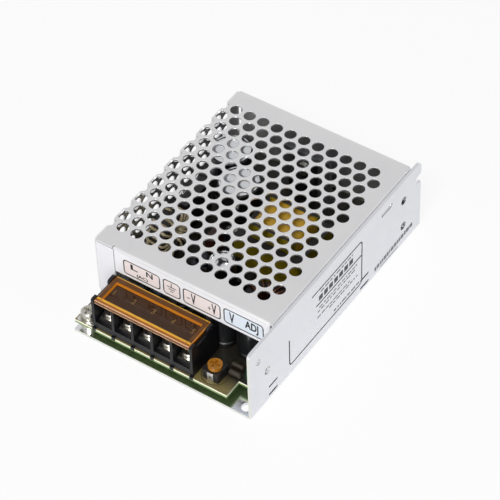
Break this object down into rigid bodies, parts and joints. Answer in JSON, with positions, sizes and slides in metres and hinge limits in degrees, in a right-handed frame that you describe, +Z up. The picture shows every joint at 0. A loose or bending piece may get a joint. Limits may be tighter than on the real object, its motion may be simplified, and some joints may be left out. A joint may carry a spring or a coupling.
{
  "type": "mesh case switching power supply",
  "caption": "Mesh-case switching power supply: perforated metal cover, open front with screw terminals under a hinged clear flap, adjuster, lamp, side mounting panel.",
  "frame": {"origin": "on the underside of the base, under the middle of the case's footprint", "axes": "+X from the open left side to the side panel, +Y from the terminals to the back, +Z up"},
  "size_m": [0.078, 0.112, 0.034],
  "materials": {
    "case_sheet": "satin mill finish",
    "screw_steel": "nickel-plated steel",
    "board_laminate": "lacquered laminate",
    "insulation_film": "smooth film",
    "black_moulding": "satin moulding",
    "contact_nickel": "nickel plate",
    "flap_amber": "clear amber moulding",
    "rotor_orange": "moulded",
    "led_green": "tinted lens",
    "can_sleeve": "shrink sleeve",
    "ferrite": "ground ferrite",
    "winding_tape": "polyester tape",
    "copper_wire": "enamelled wire",
    "sink_metal": "extruded",
    "part_black": "moulded epoxy",
    "film_yellow": "potted case",
    "disc_blue": "dipped coating",
    "film_red": "dipped coating",
    "fuse_glass": "clear tube",
    "resistor_coat": "lacquered"
  },
  "bodies": {
    "case": {"chassis": "case_sheet", "cover": "case_sheet", "cover_screws": "screw_steel", "circuit_board": "board_laminate", "insulation_sheet": "insulation_film", "board_standoffs": "contact_nickel", "board_screws": "screw_steel", "board_washers": "screw_steel", "terminal_body": "black_moulding", "terminal_plates": "contact_nickel", "trimmer_body": "black_moulding", "output_led": "led_green", "bulk_capacitors": "can_sleeve", "output_capacitors": "can_sleeve", "small_capacitors": "can_sleeve", "transformer_core": "ferrite", "transformer_bobbin": "black_moulding", "transformer_winding": "winding_tape", "switch_heatsink": "sink_metal", "switch_transistor": "part_black", "diode_heatsink": "sink_metal", "output_diode": "part_black", "heatsink_screws": "screw_steel", "inductor_core": "ferrite", "inductor_winding": "copper_wire", "choke_core": "ferrite", "choke_winding": "copper_wire", "x_capacitor": "film_yellow", "y_capacitors": "disc_blue", "thermistor": "part_black", "varistor": "disc_blue", "fuse": "fuse_glass", "fuse_clips": "contact_nickel", "bridge_rectifier": "part_black", "film_capacitors": "film_red", "resistors": "resistor_coat", "controller_chip": "part_black", "optocoupler": "part_black"},
    "flap": {"terminal_flap": "flap_amber"},
    "trimmer": {"trimmer_rotor": "rotor_orange"},
    "clamp_1": {"wire_clamp_1": "contact_nickel"},
    "screw_1": {"terminal_screw_1": "screw_steel"},
    "clamp_2": {"wire_clamp_2": "contact_nickel"},
    "screw_2": {"terminal_screw_2": "screw_steel"},
    "clamp_3": {"wire_clamp_3": "contact_nickel"},
    "screw_3": {"terminal_screw_3": "screw_steel"},
    "clamp_4": {"wire_clamp_4": "contact_nickel"},
    "screw_4": {"terminal_screw_4": "screw_steel"},
    "clamp_5": {"wire_clamp_5": "contact_nickel"},
    "screw_5": {"terminal_screw_5": "screw_steel"}
  },
  "joints": [
    {"name": "flap_hinge", "type": "hinge", "parent": "case", "child": "flap", "pos_m": [-0.00825, -0.04285, 0.0202], "axis": [-1, 0, 0], "range_deg": [0, 90]},
    {"name": "trimmer_turn", "type": "hinge", "parent": "case", "child": "trimmer", "pos_m": [0.0194, -0.0494, 0.0102], "axis": [0, 0, 1], "range_deg": [-130, 130]},
    {"name": "clamp_1_lift", "type": "slide", "parent": "case", "child": "clamp_1", "axis": [0, 0, 1], "range_m": [0, 0.0025]},
    {"name": "screw_1_turn", "type": "hinge", "parent": "clamp_1", "child": "screw_1", "pos_m": [-0.02525, -0.0498, 0.0109], "axis": [0, 0, 1], "range_deg": [0, 1800]},
    {"name": "clamp_2_lift", "type": "slide", "parent": "case", "child": "clamp_2", "axis": [0, 0, 1], "range_m": [0, 0.0025]},
    {"name": "screw_2_turn", "type": "hinge", "parent": "clamp_2", "child": "screw_2", "pos_m": [-0.01675, -0.0498, 0.0109], "axis": [0, 0, 1], "range_deg": [0, 1800]},
    {"name": "clamp_3_lift", "type": "slide", "parent": "case", "child": "clamp_3", "axis": [0, 0, 1], "range_m": [0, 0.0025]},
    {"name": "screw_3_turn", "type": "hinge", "parent": "clamp_3", "child": "screw_3", "pos_m": [-0.00825, -0.0498, 0.0109], "axis": [0, 0, 1], "range_deg": [0, 1800]},
    {"name": "clamp_4_lift", "type": "slide", "parent": "case", "child": "clamp_4", "axis": [0, 0, 1], "range_m": [0, 0.0025]},
    {"name": "screw_4_turn", "type": "hinge", "parent": "clamp_4", "child": "screw_4", "pos_m": [0.00025, -0.0498, 0.0109], "axis": [0, 0, 1], "range_deg": [0, 1800]},
    {"name": "clamp_5_lift", "type": "slide", "parent": "case", "child": "clamp_5", "axis": [0, 0, 1], "range_m": [0, 0.0025]},
    {"name": "screw_5_turn", "type": "hinge", "parent": "clamp_5", "child": "screw_5", "pos_m": [0.00875, -0.0498, 0.0109], "axis": [0, 0, 1], "range_deg": [0, 1800]}
  ],
  "couplings": [
    {"joint": "screw_1_turn", "follows": "clamp_1_lift", "rad_per_m": 12566},
    {"joint": "screw_2_turn", "follows": "clamp_2_lift", "rad_per_m": 12566},
    {"joint": "screw_3_turn", "follows": "clamp_3_lift", "rad_per_m": 12566},
    {"joint": "screw_4_turn", "follows": "clamp_4_lift", "rad_per_m": 12566},
    {"joint": "screw_5_turn", "follows": "clamp_5_lift", "rad_per_m": 12566}
  ]
}
